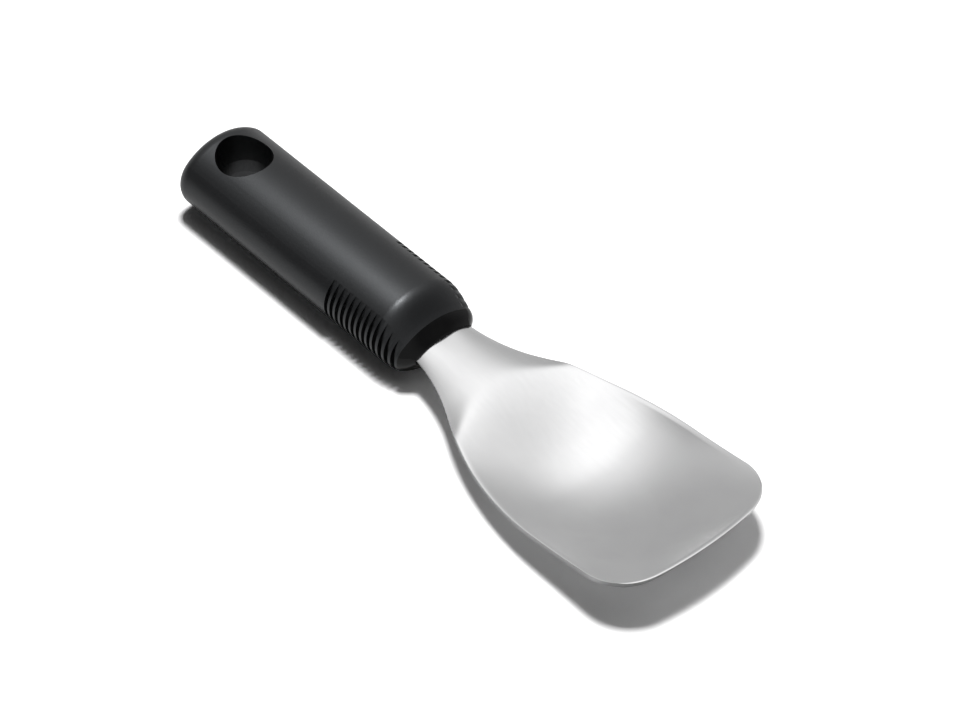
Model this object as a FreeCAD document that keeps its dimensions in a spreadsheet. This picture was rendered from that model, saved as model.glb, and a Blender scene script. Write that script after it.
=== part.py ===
import FreeCAD, Part
import Sketcher
import math
import os

# An ice cream spade: a forged stainless blade with a dished head, whose tang sits in a hard
# core inside a soft finned grip with a hole to hang it by.
#
# Millimetres. X runs along the spade from the tail of the grip to the tip of the blade, Z is up.
# The spade lies on the plane Z 0 and the origin is under the middle of its length.
# Each piece is drawn about the mouth of the collar, where the steel leaves the handle:
# X 0 is the mouth, Z 0 is the centre line of the grip.

SIZES = [
    ("handle_length", 110.0, "tail of the grip to the mouth of the collar"),
    ("handle_width", 34.4, "across the grip"),
    ("handle_height", 25.8, "grip, top to bottom"),
    ("tail_round", 5.0, "radius round the flat end of the tail"),
    ("shoulder_length", 14.7, "the top starts to fall this far behind the mouth"),
    ("collar_length", 4.2, "bare hard front of the handle"),
    ("seam_width", 31.2, "handle where the soft grip ends"),
    ("seam_height", 17.8, "handle where the soft grip ends, top to bottom"),
    ("seam_drop", 2.1, "centre of that section below the grip's centre line"),
    ("mouth_width", 23.0, "front face of the collar"),
    ("mouth_height", 8.6, "front face of the collar, top to bottom"),
    ("mouth_drop", 0.9, "centre of the front face below the centre line"),
    ("grip_wall", 3.0, "soft grip over the core at the sides of the seam"),
    ("grip_roof", 2.0, "soft grip over the core at the top of the seam"),
    ("tail_wall", 4.0, "soft grip behind the core"),
    ("fin_count", 13.0, "slots between the fins on each side"),
    ("fin_pitch", 2.5, "one slot to the next"),
    ("fin_gap", 1.5, "width of a slot"),
    ("fin_depth", 1.7, "depth of a slot at the side of the grip"),
    ("fin_rise", 1.9, "the slot floor stands this far over the top of the grip, so it runs out"),
    ("fin_margin", 1.6, "middle of the first slot behind the seam"),
    ("hole_inset", 15.0, "middle of the hang hole ahead of the tail"),
    ("hole_mouth", 19.0, "diameter of the hang hole at the skin"),
    ("hole_bore", 16.4, "diameter of the hang hole at its waist"),
    ("hole_land", 5.0, "straight part of the hang hole"),
    ("hole_wall", 1.8, "soft lining between the hang hole and the core"),
    ("blade_length", 118.0, "mouth of the collar to the tip"),
    ("blade_width", 66.0, "across the head"),
    ("neck_width", 21.4, "steel where it leaves the collar"),
    ("neck_root", 10.0, "neck carried on inside the handle"),
    ("flare_lead", 8.0, "the neck starts to widen this far inside the handle"),
    ("flare_inner", 62.0, "hollow radius of the flare"),
    ("flare_outer", 111.0, "full radius of the flare"),
    ("corner_radius", 17.0, "corners of the tip"),
    ("tip_radius", 110.0, "bow of the tip"),
    ("neck_crown", 3.3, "rise of the neck over its edges"),
    ("neck_belly", 3.4, "underside of the neck below the centre line"),
    ("neck_edge", 1.0, "thickness of the neck's edges at the mouth"),
    ("belly_place", 6.0, "where the underside starts to fall"),
    ("rim_neck", 0.3, "edge of the neck below the centre line"),
    ("rim_low", 2.05, "lowest place of the rim below the centre line"),
    ("rim_low_place", 42.0, "lowest place of the rim ahead of the mouth"),
    ("rim_tip", 5.6, "rim at the tip above the centre line"),
    ("lip_place", 12.0, "where the top starts to fall into the bowl"),
    ("lip_height", 2.6, "top of the steel there above the centre line"),
    ("lip_round", 1.0, "softness of the bowl's rear edge"),
    ("bowl_open_place", 46.0, "the bowl is as wide as the blade from here on"),
    ("bowl_place", 66.0, "deepest place of the bowl ahead of the mouth"),
    ("bowl_gauge", 2.4, "thickness of the steel there"),
    ("rim_gauge", 3.2, "thickness of the steel at the sides"),
    ("tip_gauge", 2.0, "thickness of the steel in the middle of the tip"),
    ("skin_margin", 2.0, "the skins are drawn this far past the tip and trimmed"),
    ("tang_length", 62.0, "tang behind the neck"),
    ("tang_width", 14.0, "across the tang"),
    ("tang_height", 5.0, "tang, top to bottom"),
    ("tang_overlap", 1.0, "tang let into the neck"),
]

doc = FreeCAD.newDocument("ice_cream_spade")
sheet = doc.addObject("Spreadsheet::Sheet", "Sizes")
for row, (alias, value, note) in enumerate(SIZES, start=1):
    sheet.set("A%d" % row, alias)
    sheet.set("B%d" % row, str(value))
    sheet.set("C%d" % row, note)
    sheet.setAlias("B%d" % row, alias)
doc.recompute()

MOUTH_X = "(Sizes.handle_length - Sizes.blade_length) / 2"
AXIS_Z = "Sizes.handle_height / 2"


def size(alias):
    return float(sheet.get(alias))


def vec(x, y, z=0.0):
    return FreeCAD.Vector(x, y, z)


def arc(centre, radius, first, last):
    circle = Part.Circle(centre, vec(0, 0, 1), radius)
    return Part.ArcOfCircle(circle, first, last)


def bind(thing, path, text):
    thing.setExpression(path, text)


def at_mouth(thing):
    """Put a piece drawn about the collar's mouth where the mouth is."""
    bind(thing, "Placement.Base.x", MOUTH_X)
    bind(thing, "Placement.Base.z", AXIS_Z)


def new_body(name):
    body = doc.addObject("PartDesign::Body", name)
    at_mouth(body)
    return body


def new_sketch(body, name, role):
    plane = next(o for o in body.Origin.OriginFeatures if o.Role == role)
    sketch = body.newObject("Sketcher::SketchObject", name)
    sketch.AttachmentSupport = [(plane, "")]
    sketch.MapMode = "FlatFace"
    return sketch


def named(sketch, name, text, *parts):
    """Add a dimension with a name and tie it to the sheet."""
    index = sketch.addConstraint(Sketcher.Constraint(*parts))
    sketch.renameConstraint(index, name)
    bind(sketch, "Constraints." + name, text)


# The stations of the handle's outer form, from the tail to the mouth.
# Each is a distance behind the mouth, a half width, a half height and a drop of the centre.

HALF_WIDTH = "Sizes.handle_width / 2"
HALF_HEIGHT = "Sizes.handle_height / 2"
SIDE_ROUNDING = 0.75
SHOULDER_RUN = "(Sizes.shoulder_length - Sizes.collar_length)"
FALL_WIDTH = "(Sizes.handle_width - Sizes.seam_width) / 2"
FALL_HEIGHT = "(Sizes.handle_height - Sizes.seam_height) / 2"


def shoulder(name, along, narrow, low, drop):
    """A station on the falling shoulder: shares of the run and of each change up to the seam."""
    return (
        name,
        "Sizes.collar_length + %s * %s" % (along, SHOULDER_RUN),
        "%s - %s * %s" % (HALF_WIDTH, narrow, FALL_WIDTH),
        "%s - %s * %s" % (HALF_HEIGHT, low, FALL_HEIGHT),
        "%s * Sizes.seam_drop" % drop,
    )


def collar(name, along, narrow, low, drop):
    """A station on the rounded collar: shares of its length and of each change up to the mouth."""
    return (
        name,
        "%s * Sizes.collar_length" % along,
        "(Sizes.seam_width - %s * (Sizes.seam_width - Sizes.mouth_width)) / 2" % narrow,
        "(Sizes.seam_height - %s * (Sizes.seam_height - Sizes.mouth_height)) / 2" % low,
        "Sizes.seam_drop - %s * (Sizes.seam_drop - Sizes.mouth_drop)" % drop,
    )


SEAM = shoulder("seam", 0.0, 1.0, 1.0, 1.0)
SHOULDER = [
    ("shoulder_start", "Sizes.shoulder_length", HALF_WIDTH, HALF_HEIGHT, "0"),
    shoulder("shoulder_bend", 0.8, 0.03, 0.04, 0.07),
    shoulder("shoulder_low", 0.3, 0.49, 0.54, 0.76),
    SEAM,
]
COLLAR = [
    collar("collar_full", 0.6, 0.30, 0.33, 0.19),
    collar("collar_turn", 0.3, 0.66, 0.65, 0.5),
    collar("mouth", 0.0, 1.0, 1.0, 1.0),
]


def section_sketch(body, name, station):
    label, behind = station[:2]
    sketch = new_sketch(body, "%s_%s" % (name, label), "YZ_Plane")
    bind(sketch, "AttachmentOffset.Base.z", "-(%s)" % behind)
    return sketch


def worked_out(text):
    """The value of an expression on the sheet's sizes."""
    return float(sheet.evalExpression(text))


def oval_sketch(body, name, station, side_inset="0", top_inset="0"):
    """The station's oval of four tangent arcs, drawn in at the sides and at top and bottom."""
    wide = "(%s - %s)" % (station[2], side_inset)
    high = "(%s - %s)" % (station[3], top_inset)
    side = "(%s * (%s / %s) ^ %s)" % (high, high, wide, SIDE_ROUNDING)
    crown = "((%s - %s) ^ 2 + %s ^ 2 - %s ^ 2) / (2 * (%s - %s))" % (
        wide, side, high, side, high, side)
    drop = worked_out(station[4])
    reach = worked_out(wide) - worked_out(side)
    dip = worked_out(crown) - worked_out(high)
    turn = math.atan2(abs(dip), abs(reach))
    sketch = section_sketch(body, name, station)
    arcs = [
        arc(vec(reach, -drop), worked_out(side), -turn, turn),
        arc(vec(0, -drop - dip), worked_out(crown), turn, math.pi - turn),
        arc(vec(-reach, -drop), worked_out(side), math.pi - turn, math.pi + turn),
        arc(vec(0, -drop + dip), worked_out(crown), math.pi + turn, 2 * math.pi - turn),
    ]
    right, top, left, bottom = [sketch.addGeometry(part, False) for part in arcs]
    rules = [
        ("Tangent", right, 2, top, 1),
        ("Tangent", top, 2, left, 1),
        ("Tangent", left, 2, bottom, 1),
        ("Tangent", bottom, 2, right, 1),
        ("Equal", right, left),
        ("Equal", top, bottom),
        ("PointOnObject", top, 3, -2),
        ("PointOnObject", bottom, 3, -2),
    ]
    for rule in rules:
        sketch.addConstraint(Sketcher.Constraint(*rule))
    named(sketch, "side", side, "Radius", right, worked_out(side))
    named(sketch, "crown", crown, "Radius", top, worked_out(crown))
    named(sketch, "reach", "2 * (%s - %s)" % (wide, side), "DistanceX", left, 3, right, 3,
          2 * reach)
    if drop > 0:
        named(sketch, "drop", station[4], "DistanceY", right, 3, -1, 1, drop)
    else:
        sketch.addConstraint(Sketcher.Constraint("PointOnObject", right, 3, -1))
    return sketch


def loft(body, name, sections):
    form = body.newObject("PartDesign::AdditiveLoft", name)
    form.Profile = sections[0]
    form.Sections = sections[1:]
    doc.recompute()
    return form


def barrel(body, name, section, length):
    """A straight bar from a section back towards the tail."""
    pad = body.newObject("PartDesign::Pad", name)
    pad.Profile = section
    pad.Reversed = True
    bind(pad, "Length", length)
    doc.recompute()
    return pad


def rectangle(sketch, wide_text, tall_text, wide, tall):
    """A rectangle about the origin of a sketch."""
    x, y = wide / 2, tall / 2
    corners = [vec(-x, -y), vec(x, -y), vec(x, y), vec(-x, y)]
    for i in range(4):
        sketch.addGeometry(Part.LineSegment(corners[i], corners[(i + 1) % 4]), False)
    for i in range(4):
        sketch.addConstraint(Sketcher.Constraint("Coincident", i, 2, (i + 1) % 4, 1))
    for i, kind in enumerate(["Horizontal", "Vertical", "Horizontal", "Vertical"]):
        sketch.addConstraint(Sketcher.Constraint(kind, i))
    sketch.addConstraint(Sketcher.Constraint("Symmetric", 0, 1, 1, 2, -1, 1))
    named(sketch, "wide", wide_text, "DistanceX", 0, 1, 0, 2, wide)
    named(sketch, "tall", tall_text, "DistanceY", 1, 1, 1, 2, tall)


def tail_rim(shape):
    """The edges round the flat of the tail: those that lie furthest back."""
    back = min(edge.BoundBox.XMax for edge in shape.Edges)
    names = []
    for i, edge in enumerate(shape.Edges, start=1):
        if edge.BoundBox.XMax < back + 0.01:
            names.append("Edge%d" % i)
    return names


def hang_hole(body, name, room):
    """Turn the hang hole out of a body: a straight waist that opens towards both skins."""
    sketch = new_sketch(body, name + "_profile", "XZ_Plane")
    bind(sketch, "AttachmentOffset.Base.x", "Sizes.hole_inset - Sizes.handle_length")
    reach = size("handle_height")
    land = size("hole_land") / 2
    waist_text = "(Sizes.hole_bore / 2 + %s)" % room
    opening = "(Sizes.hole_mouth - Sizes.hole_bore) / (Sizes.handle_height - Sizes.hole_land)"
    far_text = "%s + (Sizes.handle_height - Sizes.hole_land / 2) * %s" % (waist_text, opening)
    waist, far = worked_out(waist_text), worked_out(far_text)
    points = [
        vec(0, -reach), vec(far, -reach), vec(waist, -land),
        vec(waist, land), vec(far, reach), vec(0, reach),
    ]
    count = len(points)
    for i in range(count):
        sketch.addGeometry(Part.LineSegment(points[i], points[(i + 1) % count]), False)
    for i in range(count):
        sketch.addConstraint(Sketcher.Constraint("Coincident", i, 2, (i + 1) % count, 1))
    low_end, waist_line, high_end, axis_line = 0, 2, 4, 5
    rules = [
        ("Horizontal", low_end),
        ("Horizontal", high_end),
        ("PointOnObject", axis_line, 1, -2),
        ("Symmetric", axis_line, 1, axis_line, 2, -1, 1),
        ("Symmetric", waist_line, 1, waist_line, 2, -1),
        ("Equal", low_end, high_end),
    ]
    for rule in rules:
        sketch.addConstraint(Sketcher.Constraint(*rule))
    named(sketch, "reach", "2 * Sizes.handle_height",
          "DistanceY", axis_line, 2, axis_line, 1, 2 * reach)
    named(sketch, "land", "Sizes.hole_land",
          "DistanceY", waist_line, 1, waist_line, 2, 2 * land)
    named(sketch, "far", far_text, "DistanceX", high_end, 2, high_end, 1, far)
    named(sketch, "waist", waist_text, "DistanceX", -1, 1, waist_line, 1, waist)
    doc.recompute()
    before = body.Shape.Volume
    groove = body.newObject("PartDesign::Groove", name)
    groove.Profile = sketch
    groove.ReferenceAxis = (sketch, ["V_Axis"])
    groove.Angle = 360.0
    doc.recompute()
    if body.Shape.Volume >= before - 1.0:
        raise RuntimeError(name + " removed nothing")
    return groove


def make_grip_form():
    """The soft grip as a solid bar with its hang hole, before the fins and the core."""
    body = new_body("grip_form")
    bar = barrel(body, "grip_barrel", oval_sketch(body, "grip", SHOULDER[0]),
                 "Sizes.handle_length - Sizes.shoulder_length")
    tail = body.newObject("PartDesign::Fillet", "tail_rounding")
    tail.Base = (bar, tail_rim(bar.Shape))
    bind(tail, "Radius", "Sizes.tail_round")
    doc.recompute()
    loft(body, "grip_shoulder", [oval_sketch(body, "grip_loft", s) for s in SHOULDER])
    hang_hole(body, "hang_hole", "0")
    return body


def make_fin_cutter():
    """Slots across the handle, emptied where the slot floor stands, so only slivers cut."""
    slots = new_body("fin_slots")
    sketch = new_sketch(slots, "slot_outline", "XY_Plane")
    bind(sketch, "AttachmentOffset.Base.x", "-(Sizes.collar_length + Sizes.fin_margin)")
    rectangle(sketch, "Sizes.fin_gap", "2 * Sizes.handle_width",
              size("fin_gap"), 2 * size("handle_width"))
    pad = slots.newObject("PartDesign::Pad", "slot")
    pad.Profile = sketch
    pad.Midplane = True
    bind(pad, "Length", "2 * Sizes.handle_height")
    doc.recompute()
    row = slots.newObject("PartDesign::LinearPattern", "slot_row")
    row.Originals = [pad]
    row.Direction = (sketch, ["H_Axis"])
    row.Reversed = True
    bind(row, "Length", "(Sizes.fin_count - 1) * Sizes.fin_pitch")
    bind(row, "Occurrences", "Sizes.fin_count")
    slots.Tip = row

    floor = new_body("fin_floor")
    inset = ("Sizes.fin_depth", "(-Sizes.fin_rise)")
    barrel(floor, "floor_barrel", oval_sketch(floor, "floor", SHOULDER[0], *inset),
           "Sizes.fin_count * Sizes.fin_pitch")
    loft(floor, "floor_shoulder", [oval_sketch(floor, "floor_loft", s, *inset) for s in SHOULDER])
    cutter = doc.addObject("Part::Cut", "fin_cutter")
    cutter.Base = slots
    cutter.Tool = floor
    return cutter


def make_core_form():
    """The hard core: the bare collar, a rod inside the grip and an eye round the hang hole."""
    body = new_body("core_form")
    inset = ("Sizes.grip_wall", "Sizes.grip_roof")
    barrel(body, "core_rod", oval_sketch(body, "core", SEAM, *inset),
           "Sizes.handle_length - Sizes.tail_wall - Sizes.collar_length")
    loft(body, "collar_skin", [oval_sketch(body, "collar", s) for s in [SEAM] + COLLAR])
    hang_hole(body, "core_eye", "Sizes.hole_wall")
    return body


# The plan of the blade: a straight neck, a hollow and a full flare, a straight side,
# a round corner and a bowed tip. The far half is the mirror image.


def plan():
    """The centres and ends of the plan's arcs, worked out from the sheet."""
    neck, side = size("neck_width") / 2, size("blade_width") / 2
    inner, outer = size("flare_inner"), size("flare_outer")
    corner, bow = size("corner_radius"), size("tip_radius")
    tip = size("blade_length")
    turn = math.acos(1 - (side - neck) / (inner + outer))
    start = -size("flare_lead")
    meet = start + inner * math.sin(turn)
    end = meet + outer * math.sin(turn)
    corner_x = tip - bow + math.sqrt((bow - corner) ** 2 - (side - corner) ** 2)
    lean = math.asin((side - corner) / (bow - corner))
    return {
        "root": -size("neck_root"), "neck": neck, "side": side, "turn": turn, "lean": lean,
        "start": start, "meet": meet, "end": end, "corner_x": corner_x, "tip": tip,
        "inner": inner, "outer": outer, "corner": corner, "bow": bow,
    }


def half_width(x):
    """Half the width of the plan at a distance ahead of the mouth, corners left square."""
    p = plan()
    if x <= p["start"]:
        return p["neck"]
    if x <= p["meet"]:
        return p["neck"] + p["inner"] - math.sqrt(p["inner"] ** 2 - (x - p["start"]) ** 2)
    if x <= p["end"]:
        return p["side"] - p["outer"] + math.sqrt(p["outer"] ** 2 - (p["end"] - x) ** 2)
    return p["side"]


def make_blade_outline():
    p = plan()
    body = new_body("blade_outline")
    sketch = new_sketch(body, "half_plan", "XY_Plane")
    up = math.pi / 2
    join = vec(p["meet"], p["neck"] + p["inner"] * (1 - math.cos(p["turn"])))
    root_line = sketch.addGeometry(
        Part.LineSegment(vec(p["root"], 0), vec(p["root"], p["neck"])), False)
    neck_line = sketch.addGeometry(
        Part.LineSegment(vec(p["root"], p["neck"]), vec(p["start"], p["neck"])), False)
    inner_arc = sketch.addGeometry(
        arc(vec(p["start"], p["neck"] + p["inner"]), p["inner"], -up, -up + p["turn"]), False)
    outer_arc = sketch.addGeometry(
        arc(vec(p["end"], p["side"] - p["outer"]), p["outer"], up, up + p["turn"]), False)
    side_line = sketch.addGeometry(
        Part.LineSegment(vec(p["end"], p["side"]), vec(p["corner_x"], p["side"])), False)
    corner_arc = sketch.addGeometry(
        arc(vec(p["corner_x"], p["side"] - p["corner"]), p["corner"], p["lean"], up), False)
    tip_arc = sketch.addGeometry(
        arc(vec(p["tip"] - p["bow"], 0), p["bow"], 0, p["lean"]), False)
    base_line = sketch.addGeometry(
        Part.LineSegment(vec(p["tip"], 0), vec(p["root"], 0)), False)
    rules = [
        ("Coincident", root_line, 2, neck_line, 1),
        ("Tangent", neck_line, 2, inner_arc, 1),
        ("Tangent", inner_arc, 2, outer_arc, 2),
        ("Tangent", outer_arc, 1, side_line, 1),
        ("Tangent", side_line, 2, corner_arc, 2),
        ("Tangent", corner_arc, 1, tip_arc, 2),
        ("Coincident", tip_arc, 1, base_line, 1),
        ("Coincident", base_line, 2, root_line, 1),
        ("Vertical", root_line),
        ("Horizontal", neck_line),
        ("Horizontal", side_line),
        ("PointOnObject", base_line, 1, -1),
        ("PointOnObject", base_line, 2, -1),
        ("PointOnObject", tip_arc, 3, -1),
    ]
    for rule in rules:
        sketch.addConstraint(Sketcher.Constraint(*rule))
    named(sketch, "root", "Sizes.neck_root", "DistanceX", base_line, 2, -1, 1, -p["root"])
    named(sketch, "lead", "Sizes.flare_lead", "DistanceX", neck_line, 2, -1, 1, -p["start"])
    named(sketch, "neck", "Sizes.neck_width / 2", "DistanceY", root_line, 1, root_line, 2,
          p["neck"])
    named(sketch, "side", "Sizes.blade_width / 2", "DistanceY", -1, 1, side_line, 1, p["side"])
    named(sketch, "tip", "Sizes.blade_length", "DistanceX", -1, 1, base_line, 1, p["tip"])
    named(sketch, "inner", "Sizes.flare_inner", "Radius", inner_arc, p["inner"])
    named(sketch, "outer", "Sizes.flare_outer", "Radius", outer_arc, p["outer"])
    named(sketch, "corner", "Sizes.corner_radius", "Radius", corner_arc, p["corner"])
    named(sketch, "bow", "Sizes.tip_radius", "Radius", tip_arc, p["bow"])
    pad = body.newObject("PartDesign::Pad", "half_plate")
    pad.Profile = sketch
    pad.Midplane = True
    bind(pad, "Length", "2 * Sizes.handle_height")
    doc.recompute()
    mirror = body.newObject("PartDesign::Mirrored", "whole_plate")
    mirror.Originals = [pad]
    mirror.MirrorPlane = (sketch, ["H_Axis"])
    body.Tip = mirror
    doc.recompute()
    return body


# The heights of the blade's two skins, above the centre line, at a distance ahead of the mouth.


RIM_LIFT = 1.2
BELLY_POWER = 2.2


def ease(t):
    """A smooth step from 0 to 1."""
    t = min(1.0, max(0.0, t))
    return t * t * (3 - 2 * t)


def rim_height(x):
    low, place = size("rim_low"), size("rim_low_place")
    if x < place:
        return -low + (low - size("rim_neck")) * ((place - x) / place) ** 2
    return -low + (size("rim_tip") + low) * ((x - place) / (size("blade_length") - place)) ** 2


def bowl_line(x):
    """The top skin along the middle of the bowl."""
    lip, lip_top = size("lip_place"), size("lip_height")
    place = size("bowl_place")
    depth = size("handle_height") / 2 - size("bowl_gauge")
    if x < place:
        return lip_top - (lip_top + depth) * ease((x - lip) / (place - lip))
    return -depth + (size("rim_tip") + depth) * ((x - place) / (size("blade_length") - place)) ** 2


def top_skin(x, across):
    """The crowned neck and the dished bowl, blended along the bowl's rear edge."""
    rim = rim_height(x)
    bowl_begins = size("lip_place")
    opened = ease((x - bowl_begins) / (size("bowl_open_place") - bowl_begins))
    neck = rim + size("neck_crown") * (1 - across ** 2) + 2 * size("neck_crown") * opened ** 3
    raised = RIM_LIFT * size("neck_crown") * (1 - opened)
    bowl = bowl_line(x)
    bowl += (rim + raised - bowl) * across ** 2
    soft = size("lip_round")
    return (neck + bowl - math.sqrt((neck - bowl) ** 2 + soft ** 2)) / 2


def under_skin(x, across):
    """The belly of the neck and the round back of the bowl."""
    place, tip = size("bowl_place"), size("blade_length")
    deep = size("handle_height") / 2
    belly, falls = size("neck_belly"), size("belly_place")
    if x < place:
        middle = -belly - (deep - belly) * ease((x - falls) / (place - falls))
    else:
        gauge = size("bowl_gauge")
        gauge += (size("tip_gauge") - gauge) * (x - place) / (tip - place)
        middle = bowl_line(x) - gauge
    thin = size("neck_edge")
    gauge = thin + (size("rim_gauge") - thin) * ease(x / size("rim_low_place"))
    edge = rim_height(x) - gauge
    return middle + (edge - middle) * abs(across) ** BELLY_POWER


SKIN_ROWS = 28
SKIN_COLUMNS = 12
SKIN_SPREAD = 1.06


def skin(height):
    """A smooth surface through the heights, from the root to past the tip."""
    start = -size("neck_root")
    stop = size("blade_length") + size("skin_margin")
    grid = []
    for i in range(SKIN_ROWS + 1):
        x = start + (stop - start) * i / SKIN_ROWS
        line = []
        for k in range(SKIN_COLUMNS + 1):
            across = SKIN_SPREAD * (2.0 * k / SKIN_COLUMNS - 1.0)
            line.append(vec(x, across * half_width(x), height(x, across)))
        grid.append(line)
    surface = Part.BSplineSurface()
    surface.interpolate(grid)
    return surface


def make_blade_sheet():
    """A dished sheet wider than the blade, closed by upright walls."""
    top = skin(top_skin)
    under = skin(under_skin)
    faces = [top.toShape(), under.toShape()]
    t_u0, t_u1, t_v0, t_v1 = top.bounds()
    b_u0, b_u1, b_v0, b_v1 = under.bounds()
    walls = [
        (top.uIso(t_u0), under.uIso(b_u0)),
        (top.uIso(t_u1), under.uIso(b_u1)),
        (top.vIso(t_v0), under.vIso(b_v0)),
        (top.vIso(t_v1), under.vIso(b_v1)),
    ]
    for upper, lower in walls:
        faces.append(Part.makeRuledSurface(upper.toShape(), lower.toShape()))
    shell = Part.Shell(faces)
    shell.sewShape()
    solid = Part.Solid(shell)
    if solid.Volume < 0:
        solid.reverse()
    thing = doc.addObject("Part::Feature", "blade_sheet")
    thing.Shape = solid
    at_mouth(thing)
    return thing


def make_tang():
    body = new_body("tang")
    sketch = new_sketch(body, "tang_outline", "XY_Plane")
    bind(sketch, "AttachmentOffset.Base.x",
         "Sizes.tang_overlap - Sizes.neck_root - (Sizes.tang_length + Sizes.tang_overlap) / 2")
    rectangle(sketch, "Sizes.tang_length + Sizes.tang_overlap", "Sizes.tang_width",
              size("tang_length") + size("tang_overlap"), size("tang_width"))
    pad = body.newObject("PartDesign::Pad", "tang_bar")
    pad.Profile = sketch
    pad.Midplane = True
    bind(pad, "Length", "Sizes.tang_height")
    doc.recompute()
    return body


def cut(name, base, tool):
    thing = doc.addObject("Part::Cut", name)
    thing.Base = base
    thing.Tool = tool
    return thing


def make_blade():
    head = doc.addObject("Part::Common", "blade_head")
    head.Base = make_blade_sheet()
    head.Tool = make_blade_outline()
    blade = doc.addObject("Part::Fuse", "blade")
    blade.Base = head
    blade.Tool = make_tang()
    doc.recompute()
    return blade


blade = make_blade()
core_form = make_core_form()
core = cut("handle_core", core_form, blade)
finned = cut("finned_grip", make_grip_form(), make_fin_cutter())
grip = cut("grip", finned, core_form)
doc.recompute()

NODES = {"blade": blade, "handle_core": core, "grip": grip}
for label, thing in NODES.items():
    thing.Label = label

for thing in doc.Objects:
    if "Invalid" in thing.State or "Error" in thing.State:
        raise RuntimeError("%s failed: %s" % (thing.Name, thing.State))

os.makedirs("parts", exist_ok=True)
for label, thing in NODES.items():
    shape = thing.Shape
    if shape.isNull() or not shape.isValid():
        raise RuntimeError(label + " is not a valid solid")
    if len(shape.Solids) != 1:
        raise RuntimeError("%s has %d solids" % (label, len(shape.Solids)))
    shape.exportStep("parts/%s.step" % label)
    box = shape.BoundBox
    print("%-12s %9.1f mm3  X %.2f to %.2f  Y %.2f to %.2f  Z %.2f to %.2f" % (
        label, shape.Volume, box.XMin, box.XMax, box.YMin, box.YMax, box.ZMin, box.ZMax))
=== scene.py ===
import bpy
import bmesh
import math
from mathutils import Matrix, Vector


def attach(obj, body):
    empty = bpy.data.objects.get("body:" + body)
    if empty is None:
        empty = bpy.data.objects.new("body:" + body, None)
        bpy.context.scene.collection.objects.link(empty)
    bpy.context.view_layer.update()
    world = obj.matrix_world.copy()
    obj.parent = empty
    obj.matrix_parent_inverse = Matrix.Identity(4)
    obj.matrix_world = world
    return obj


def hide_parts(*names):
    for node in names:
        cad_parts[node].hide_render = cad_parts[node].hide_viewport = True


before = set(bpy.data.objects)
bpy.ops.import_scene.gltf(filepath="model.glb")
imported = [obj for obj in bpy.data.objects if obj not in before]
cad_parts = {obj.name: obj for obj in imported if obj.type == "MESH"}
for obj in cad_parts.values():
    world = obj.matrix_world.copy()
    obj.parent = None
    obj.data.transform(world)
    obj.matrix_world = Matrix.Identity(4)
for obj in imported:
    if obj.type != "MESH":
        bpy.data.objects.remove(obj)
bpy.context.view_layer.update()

# An ice cream spade on a white table: satin steel blade, glossy collar, soft finned grip.
# The blade, and the camera's place and lens, are given in millimetres, and the rest in metres.

MM = 0.001
HANDLE_HALF = 12.9
MOUTH = Vector((-4.0, 0.0, HANDLE_HALF))


# The plan of the blade, measured ahead of the collar's mouth

ROOT = -10.0
NECK = 10.7
SIDE = 33.0
FLARE_START = -8.0
FLARE_INNER = 62.0
FLARE_OUTER = 111.0
CORNER = 17.0
BOW = 110.0
TIP = 118.0

QUARTER = math.pi / 2
FLARE_TURN = math.acos(1 - (SIDE - NECK) / (FLARE_INNER + FLARE_OUTER))
FLARE_MEET = FLARE_START + FLARE_INNER * math.sin(FLARE_TURN)
FLARE_END = FLARE_MEET + FLARE_OUTER * math.sin(FLARE_TURN)
CORNER_X = TIP - BOW + math.sqrt((BOW - CORNER) ** 2 - (SIDE - CORNER) ** 2)
CORNER_LEAN = math.asin((SIDE - CORNER) / (BOW - CORNER))
CORNER_TURN = QUARTER - CORNER_LEAN


def half_width(x):
    """Half the width of the plan, with the corners of the tip left square."""
    if x <= FLARE_START:
        return NECK
    if x <= FLARE_MEET:
        return NECK + FLARE_INNER - math.sqrt(FLARE_INNER ** 2 - (x - FLARE_START) ** 2)
    if x <= FLARE_END:
        return SIDE - FLARE_OUTER + math.sqrt(FLARE_OUTER ** 2 - (FLARE_END - x) ** 2)
    return SIDE


def straight(start, end, side):
    """A run of the outline in line with the blade: its length, and its point at a share."""
    return end - start, lambda share: Vector((start + (end - start) * share, side))


def arc(centre_x, centre_y, radius, start, turn):
    """An arc of the outline: its length, and its point at a share."""
    def point(share):
        angle = start + turn * share
        return Vector((centre_x + radius * math.cos(angle), centre_y + radius * math.sin(angle)))
    return radius * abs(turn), point


# One side of the outline, from the root to the middle of the tip
RIM = [
    straight(ROOT, FLARE_START, NECK),
    arc(FLARE_START, NECK + FLARE_INNER, FLARE_INNER, -QUARTER, FLARE_TURN),
    arc(FLARE_END, SIDE - FLARE_OUTER, FLARE_OUTER, QUARTER + FLARE_TURN, -FLARE_TURN),
    straight(FLARE_END, CORNER_X, SIDE),
    arc(CORNER_X, SIDE - CORNER, CORNER, QUARTER, -CORNER_TURN),
    arc(TIP - BOW, 0.0, BOW, CORNER_LEAN, -CORNER_LEAN),
]
RIM_LENGTH = sum(length for length, point in RIM)
TIP_LENGTH = BOW * CORNER_LEAN + CORNER * CORNER_TURN / 2


def rim_point(distance):
    """The outline at a distance along it from the root."""
    for length, point in RIM:
        if distance <= length:
            return point(distance / length)
        distance -= length
    return point(1.0)


def plan_point(along, across):
    """The plan at a share from root to tip and a share from the middle to the side."""
    outward = abs(across)
    side = rim_point(along * (RIM_LENGTH - TIP_LENGTH))
    tip = rim_point(RIM_LENGTH - outward * TIP_LENGTH)
    corner = rim_point(RIM_LENGTH - TIP_LENGTH)
    root = Vector((ROOT, 0.0)) * (1 - along) * (1 - outward)
    place = side * outward + root + (tip - corner * outward) * along
    return place.x, math.copysign(place.y, across) if outward > 0 else 0.0


# The two skins of the blade, measured above the centre line of the handle

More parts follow.
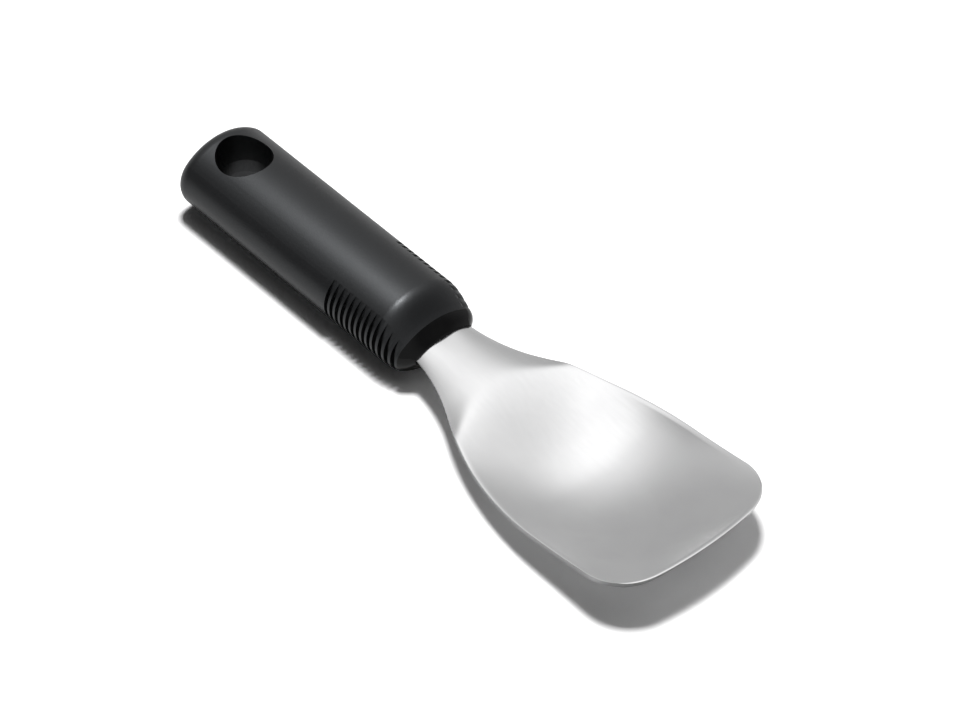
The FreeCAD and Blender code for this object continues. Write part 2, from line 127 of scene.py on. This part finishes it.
NECK_CROWN = 3.3
NECK_FADE = 2 * NECK_CROWN
NECK_BELLY = 3.4
NECK_EDGE = 1.0
BELLY_PLACE = 6.0
RIM_NECK = 0.3
RIM_LOW = 2.05
RIM_LOW_PLACE = 42.0
RIM_TIP = 5.6
LIP_PLACE = 12.0
LIP_HEIGHT = 2.6
LIP_ROUND = 1.0
BOWL_OPEN_PLACE = 46.0
BOWL_PLACE = 66.0
BOWL_GAUGE = 2.4
RIM_GAUGE = 3.2
TIP_GAUGE = 2.0
RIM_LIFT = 1.2
BELLY_POWER = 2.2


def ease(share):
    """A smooth step from nought to one."""
    share = min(1.0, max(0.0, share))
    return share * share * (3 - 2 * share)


def rim_height(x):
    """The top of the rim: it dips ahead of the neck and rises to the tip."""
    if x < RIM_LOW_PLACE:
        return -RIM_LOW + (RIM_LOW - RIM_NECK) * ((RIM_LOW_PLACE - x) / RIM_LOW_PLACE) ** 2
    run = TIP - RIM_LOW_PLACE
    return -RIM_LOW + (RIM_TIP + RIM_LOW) * ((x - RIM_LOW_PLACE) / run) ** 2


def bowl_line(x):
    """The middle line of the bowl, from the lip down to its floor and up to the tip."""
    depth = HANDLE_HALF - BOWL_GAUGE
    if x < BOWL_PLACE:
        fallen = ease((x - LIP_PLACE) / (BOWL_PLACE - LIP_PLACE))
        return LIP_HEIGHT - (LIP_HEIGHT + depth) * fallen
    return -depth + (RIM_TIP + depth) * ((x - BOWL_PLACE) / (TIP - BOWL_PLACE)) ** 2


def top_height(x, across):
    """The upper skin: the crowned neck or the bowl, whichever is lower, with a soft lip."""
    rim = rim_height(x)
    opened = ease((x - LIP_PLACE) / (BOWL_OPEN_PLACE - LIP_PLACE))
    neck = rim + NECK_CROWN * (1 - across ** 2) + NECK_FADE * opened ** 3
    raised = RIM_LIFT * NECK_CROWN * (1 - opened)
    bowl = bowl_line(x)
    bowl += (rim + raised - bowl) * across ** 2
    return (neck + bowl - math.sqrt((neck - bowl) ** 2 + LIP_ROUND ** 2)) / 2


def under_height(x, across):
    """The lower skin: a belly under the neck, then the bowl's line at its gauge."""
    if x < BOWL_PLACE:
        fallen = ease((x - BELLY_PLACE) / (BOWL_PLACE - BELLY_PLACE))
        middle = -NECK_BELLY - (HANDLE_HALF - NECK_BELLY) * fallen
    else:
        share = (x - BOWL_PLACE) / (TIP - BOWL_PLACE)
        middle = bowl_line(x) - BOWL_GAUGE - (TIP_GAUGE - BOWL_GAUGE) * share
    gauge = NECK_EDGE + (RIM_GAUGE - NECK_EDGE) * ease(x / RIM_LOW_PLACE)
    edge = rim_height(x) - gauge
    return middle + (edge - middle) * abs(across) ** BELLY_POWER


# Finishes

NOISE_LOW = 0.3
NOISE_HIGH = 0.7


def new_material(name):
    """A material, with its node tree and its shader."""
    material = bpy.data.materials.new(name)
    material.use_nodes = True
    shader = material.node_tree.nodes["Principled BSDF"]
    return material, material.node_tree, shader


def noise(tree, scale, detail, rough, stretch=(1.0, 1.0, 1.0)):
    """Noise on the object's own coordinates, stretched along an axis if asked."""
    coords = tree.nodes.new("ShaderNodeTexCoord")
    mapping = tree.nodes.new("ShaderNodeMapping")
    mapping.inputs["Scale"].default_value = stretch
    tree.links.new(coords.outputs["Object"], mapping.inputs["Vector"])
    texture = tree.nodes.new("ShaderNodeTexNoise")
    texture.inputs["Scale"].default_value = scale
    texture.inputs["Detail"].default_value = detail
    texture.inputs["Roughness"].default_value = rough
    tree.links.new(mapping.outputs["Vector"], texture.inputs["Vector"])
    return texture.outputs["Fac"]


def spread(tree, source, low, high):
    """A noise's usual range spread between two ends."""
    node = tree.nodes.new("ShaderNodeMapRange")
    node.inputs["From Min"].default_value = NOISE_LOW
    node.inputs["From Max"].default_value = NOISE_HIGH
    node.inputs["To Min"].default_value = low
    node.inputs["To Max"].default_value = high
    tree.links.new(source, node.inputs["Value"])
    return node.outputs["Result"]


def tint(tree, source, dark, light):
    """A colour between two, chosen by a noise."""
    ramp = tree.nodes.new("ShaderNodeValToRGB")
    first, last = ramp.color_ramp.elements
    first.position = NOISE_LOW
    first.color = (*dark, 1.0)
    last.position = NOISE_HIGH
    last.color = (*light, 1.0)
    tree.links.new(source, ramp.inputs["Fac"])
    return ramp.outputs["Color"]


def bumped(tree, shader, source, strength, distance):
    """Small relief on a shader, raised by a noise."""
    bump = tree.nodes.new("ShaderNodeBump")
    bump.inputs["Strength"].default_value = strength
    bump.inputs["Distance"].default_value = distance
    tree.links.new(source, bump.inputs["Height"])
    tree.links.new(bump.outputs["Normal"], shader.inputs["Normal"])


def satin_steel():
    """Stainless steel with a fine streak along the blade."""
    material, tree, shader = new_material("satin_steel")
    shader.inputs["Metallic"].default_value = 1.0
    cloud = noise(tree, scale=60.0, detail=3.0, rough=0.5)
    streak = noise(tree, scale=900.0, detail=4.0, rough=0.6, stretch=(0.06, 1.0, 1.0))
    colour = tint(tree, cloud, dark=(0.76, 0.76, 0.765), light=(0.80, 0.80, 0.803))
    roughness = spread(tree, streak, low=0.21, high=0.27)
    tree.links.new(colour, shader.inputs["Base Color"])
    tree.links.new(roughness, shader.inputs["Roughness"])
    bumped(tree, shader, streak, strength=0.05, distance=0.00004)
    return material


def soft_rubber():
    """Black rubber with a fine grain that breaks up its sheen."""
    material, tree, shader = new_material("soft_rubber")
    grain = noise(tree, scale=2600.0, detail=3.0, rough=0.6)
    cloud = noise(tree, scale=90.0, detail=3.0, rough=0.5)
    colour = tint(tree, cloud, dark=(0.0015, 0.0015, 0.0017), light=(0.0025, 0.0025, 0.0028))
    roughness = spread(tree, grain, low=0.35, high=0.43)
    tree.links.new(colour, shader.inputs["Base Color"])
    tree.links.new(roughness, shader.inputs["Roughness"])
    shader.inputs["Specular IOR Level"].default_value = 0.55
    shader.inputs["Specular Tint"].default_value = (0.93, 0.965, 1.0, 1.0)
    bumped(tree, shader, grain, strength=0.25, distance=0.00008)
    return material


def glossy_black():
    """Black plastic, nearly smooth."""
    material, tree, shader = new_material("glossy_black")
    cloud = noise(tree, scale=240.0, detail=2.0, rough=0.5)
    colour = tint(tree, cloud, dark=(0.0015, 0.0015, 0.0016), light=(0.0025, 0.0025, 0.0026))
    roughness = spread(tree, cloud, low=0.05, high=0.08)
    tree.links.new(colour, shader.inputs["Base Color"])
    tree.links.new(roughness, shader.inputs["Roughness"])
    shader.inputs["Specular IOR Level"].default_value = 0.25
    bumped(tree, shader, cloud, strength=0.02, distance=0.0001)
    return material


# The blade

ROWS = 110
COLUMNS = 60
UNDERCUT = 0.8
UNDERCUT_MIDDLE = 46.0
LAND = 0.9
LAND_PLACE = 60.0
TIP_LAND = LAND / (TIP - ROOT)
SIDE_LAND = LAND / SIDE
TOP_ROUND = 0.22
UNDER_ROUND = 0.3
ROUND_STEPS = 3
WALL_SLOPE = 0.6
TANG_SIZE = (63.0, 14.0, 5.0)
TANG_MIDDLE = Vector((-40.5, 0.0, 0.0))
MERGE_GAP = 0.001
SHARP_ANGLE = math.radians(40.0)


def placed(name, data):
    """A new object in the scene."""
    thing = bpy.data.objects.new(name, data)
    bpy.context.scene.collection.objects.link(thing)
    return thing


def land_share(share, steps, land):
    """Where a grid line falls, with a narrow land left outside the last but one."""
    if share > 1 - 0.5 / steps:
        return 1.0
    return share * steps / (steps - 1) * (1 - land)


def skin_point(height, draft, along, across):
    """A point of a skin, with the land levelled and the side drawn in by the draft."""
    x, y = plan_point(along, across)
    inner_across = math.copysign(min(abs(across), 1 - SIDE_LAND), across)
    inner_x, inner_y = plan_point(min(along, 1 - TIP_LAND), inner_across)
    z = height(x, y / half_width(x))
    level = height(inner_x, inner_y / half_width(inner_x))
    z += (level - z) * ease(x / LAND_PLACE)
    x -= draft * (x - UNDERCUT_MIDDLE) / (TIP - UNDERCUT_MIDDLE)
    y -= draft * y / SIDE
    return MOUTH + Vector((x, y, z))


def make_skin(mesh, height, draft):
    """One skin of the blade, as a grid; gives back the edges of its rim, in a fixed order."""
    made = bmesh.ops.create_grid(mesh, x_segments=ROWS, y_segments=COLUMNS, size=0.5)
    for vertex in made["verts"]:
        along = land_share(vertex.co.x + 0.5, ROWS, TIP_LAND)
        across = land_share(abs(vertex.co.y) * 2, COLUMNS / 2, SIDE_LAND)
        across = math.copysign(across, vertex.co.y)
        vertex.co = skin_point(height, draft, along, across)
    rim = []
    for vertex in made["verts"]:
        rim += [edge for edge in vertex.link_edges if edge.is_boundary and edge not in rim]
    return rim


def round_edge(mesh, edges, width):
    """A small rounding that ends sharply at the side wall."""
    made = bmesh.ops.bevel(
        mesh, geom=edges, offset=width, offset_type="OFFSET", segments=ROUND_STEPS,
        profile=0.5, affect="EDGES", material=-1, clamp_overlap=True)
    rounded = set(made["faces"])
    for face in rounded:
        for edge in face.edges:
            others = set(edge.link_faces) - rounded
            if any(abs(other.normal.z) < WALL_SLOPE for other in others):
                edge.smooth = False


def make_blade(material):
    """The blade as two skins joined at the rim, with its tang behind, in place of its node."""
    mesh = bmesh.new()
    top_rim = make_skin(mesh, top_height, 0.0)
    under_rim = make_skin(mesh, under_height, UNDERCUT)
    bmesh.ops.bridge_loops(mesh, edges=top_rim + under_rim)
    bmesh.ops.recalc_face_normals(mesh, faces=mesh.faces)
    round_edge(mesh, top_rim, TOP_ROUND)
    round_edge(mesh, under_rim, UNDER_ROUND)
    tang = bmesh.ops.create_cube(mesh, size=1.0)
    bmesh.ops.scale(mesh, vec=TANG_SIZE, verts=tang["verts"])
    bmesh.ops.translate(mesh, vec=MOUTH + TANG_MIDDLE, verts=tang["verts"])
    bmesh.ops.remove_doubles(mesh, verts=mesh.verts, dist=MERGE_GAP)
    bmesh.ops.recalc_face_normals(mesh, faces=mesh.faces)
    bmesh.ops.scale(mesh, vec=(MM, MM, MM), verts=mesh.verts)
    for face in mesh.faces:
        face.smooth = True
    for edge in mesh.edges:
        if len(edge.link_faces) == 2 and edge.calc_face_angle() > SHARP_ANGLE:
            edge.smooth = False
    data = bpy.data.meshes.new("forged_blade")
    mesh.to_mesh(data)
    mesh.free()
    data.materials.append(material)
    piece = placed("forged_blade", data)
    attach(piece, "root")
    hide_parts("blade")


# The table

TABLE_HALF = 3.0
TABLE_WHITE = 0.92
TABLE_SEEN = 1.5
TABLE_ROUGHNESS = 0.6
TABLE_SPECULAR = 0.2


def make_table():
    """A white sheet; the camera sees it lighter than it is, and with the spade's shadow."""
    mesh = bmesh.new()
    bmesh.ops.create_grid(mesh, x_segments=2, y_segments=2, size=TABLE_HALF)
    data = bpy.data.meshes.new("table")
    mesh.to_mesh(data)
    mesh.free()
    table = placed("table", data)
    material, tree, shader = new_material("white_table")
    shader.inputs["Base Color"].default_value = (TABLE_WHITE, TABLE_WHITE, TABLE_WHITE, 1.0)
    shader.inputs["Roughness"].default_value = TABLE_ROUGHNESS
    shader.inputs["Specular IOR Level"].default_value = TABLE_SPECULAR
    path = tree.nodes.new("ShaderNodeLightPath")
    clean = tree.nodes.new("ShaderNodeBsdfDiffuse")
    clean.inputs["Color"].default_value = (TABLE_SEEN, TABLE_SEEN, TABLE_SEEN, 1.0)
    mix = tree.nodes.new("ShaderNodeMixShader")
    tree.links.new(path.outputs["Is Camera Ray"], mix.inputs["Fac"])
    tree.links.new(shader.outputs["BSDF"], mix.inputs[1])
    tree.links.new(clean.outputs["BSDF"], mix.inputs[2])
    tree.links.new(mix.outputs["Shader"], tree.nodes["Material Output"].inputs["Surface"])
    data.materials.append(material)


# The lamps


def turned_towards(direction):
    """The turn that makes a lamp or the camera look in a direction."""
    return direction.to_track_quat("-Z", "Y").to_euler()


def make_lamp(name, place, wide, deep, watts):
    """A flat lamp that faces the spade; the gloss sees the room instead."""
    lamp = bpy.data.lights.new(name, "AREA")
    lamp.shape = "RECTANGLE"
    lamp.size = wide
    lamp.size_y = deep
    lamp.energy = watts
    thing = placed(name, lamp)
    thing.location = place
    thing.rotation_euler = turned_towards(-Vector(place))
    thing.visible_glossy = False
    return thing


def make_sheen_lamp(name, place, wide, deep, watts, receivers):
    """A lamp that lights a few pieces only, with its glint, for the dark handle's sheen."""
    thing = make_lamp(name, place, wide, deep, watts)
    thing.visible_glossy = True
    lit = bpy.data.collections.new(name + "_receivers")
    for receiver in receivers:
        lit.objects.link(receiver)
    thing.light_linking.receiver_collection = lit


# The room: a softbox and two dark flags, which only the gloss sees

ROOM_SEEN = 1.0
ROOM_FILL = 0.015
ROOM_TOP = 1.34
ROOM_EDGE = 0.48
SOFTBOX_PLACE = (-0.2, 0.1, 0.0)
SOFTBOX_SHARE = (1.95, 1.3, 0.0)
SOFTBOX_START = 0.25
SOFTBOX_END = 1.25
NEAR_FLAG = 0.1
NEAR_FLAG_X = (-0.3, -0.52)
NEAR_FLAG_Y = (-0.18, -0.52)
TIP_FLAG = 0.2
TIP_FLAG_X = (0.2, 0.6)
TIP_FLAG_Y = (-0.4, 0.0)


def eased(tree, source, start, end, low=0.0, high=1.0):
    """One level before a value and another past the next, with a smooth change between."""
    node = tree.nodes.new("ShaderNodeMapRange")
    node.interpolation_type = "SMOOTHSTEP"
    node.inputs["From Min"].default_value = start
    node.inputs["From Max"].default_value = end
    node.inputs["To Min"].default_value = low
    node.inputs["To Max"].default_value = high
    tree.links.new(source, node.inputs["Value"])
    return node.outputs["Result"]


def vector_step(tree, operation, source, value=(0.0, 0.0, 0.0)):
    """One step of vector arithmetic."""
    node = tree.nodes.new("ShaderNodeVectorMath")
    node.operation = operation
    node.inputs[1].default_value = value
    tree.links.new(source, node.inputs[0])
    return node


def flag(tree, parts, x_edge, y_edge):
    """A share that grows to one as a direction passes an edge in x and an edge in y."""
    node = tree.nodes.new("ShaderNodeMath")
    node.operation = "MULTIPLY"
    tree.links.new(eased(tree, parts.outputs["X"], *x_edge), node.inputs[0])
    tree.links.new(eased(tree, parts.outputs["Y"], *y_edge), node.inputs[1])
    return node.outputs["Value"]


def mixed(tree, before, after, share):
    """A level that turns from one to another, each a number or a socket."""
    node = tree.nodes.new("ShaderNodeMix")
    for name, value in (("A", before), ("B", after)):
        if isinstance(value, float):
            node.inputs[name].default_value = value
        else:
            tree.links.new(value, node.inputs[name])
    tree.links.new(share, node.inputs["Factor"])
    return node.outputs["Result"]


def make_room():
    """White to the camera and dim to matt surfaces, with a softbox and dark flags in the gloss."""
    world = bpy.data.worlds.new("room")
    bpy.context.scene.world = world
    world.use_nodes = True
    tree = world.node_tree
    direction = tree.nodes.new("ShaderNodeTexCoord").outputs["Generated"]
    parts = tree.nodes.new("ShaderNodeSeparateXYZ")
    tree.links.new(direction, parts.inputs["Vector"])
    centred = vector_step(tree, "SUBTRACT", direction, SOFTBOX_PLACE)
    scaled = vector_step(tree, "MULTIPLY", centred.outputs["Vector"], SOFTBOX_SHARE)
    far = vector_step(tree, "LENGTH", scaled.outputs["Vector"])
    softbox = eased(
        tree, far.outputs["Value"], SOFTBOX_START, SOFTBOX_END, low=ROOM_TOP, high=ROOM_EDGE)
    path = tree.nodes.new("ShaderNodeLightPath")
    level = mixed(tree, softbox, NEAR_FLAG, flag(tree, parts, NEAR_FLAG_X, NEAR_FLAG_Y))
    level = mixed(tree, level, TIP_FLAG, flag(tree, parts, TIP_FLAG_X, TIP_FLAG_Y))
    level = mixed(tree, ROOM_FILL, level, path.outputs["Is Glossy Ray"])
    level = mixed(tree, level, ROOM_SEEN, path.outputs["Is Camera Ray"])
    back = tree.nodes["Background"]
    back.inputs["Color"].default_value = (1.0, 1.0, 1.0, 1.0)
    tree.links.new(level, back.inputs["Strength"])


# The camera

AZIMUTH = math.radians(48.15)
ELEVATION = math.radians(46.0)
TARGET = Vector((9.0, 3.4, 12.9))
DISTANCE = 1457.0
SENSOR = 36.0
LENS = 178.1
NEAREST_SEEN = 0.05
FARTHEST_SEEN = 20.0


def make_camera():
    """The photograph's viewing angle, distance and lens."""
    back = Vector((
        math.sin(AZIMUTH) * math.cos(ELEVATION),
        -math.cos(AZIMUTH) * math.cos(ELEVATION),
        math.sin(ELEVATION),
    ))
    data = bpy.data.cameras.new("camera")
    data.sensor_width = SENSOR
    data.lens = LENS
    data.clip_start = NEAREST_SEEN
    data.clip_end = FARTHEST_SEEN
    camera = placed("camera", data)
    camera.location = TARGET * MM + back * DISTANCE * MM
    camera.rotation_euler = turned_towards(-back)
    bpy.context.scene.camera = camera


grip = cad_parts["grip"]
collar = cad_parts["handle_core"]

make_blade(satin_steel())
for node, material in ((collar, glossy_black()), (grip, soft_rubber())):
    node.data.materials.clear()
    node.data.materials.append(material)

make_table()
make_room()
make_lamp("overhead_lamp", place=(-0.2, 0.18, 1.5), wide=0.3, deep=0.3, watts=18.5)
make_lamp("wide_softbox", place=(0.15, 0.3, 1.3), wide=1.3, deep=1.3, watts=2.6)
make_sheen_lamp(
    "handle_sheen", place=(-0.38, -0.03, 1.43), wide=0.3, deep=0.2, watts=16.0,
    receivers=[grip, collar])
make_camera()
bpy.context.scene.view_settings.view_transform = "Standard"
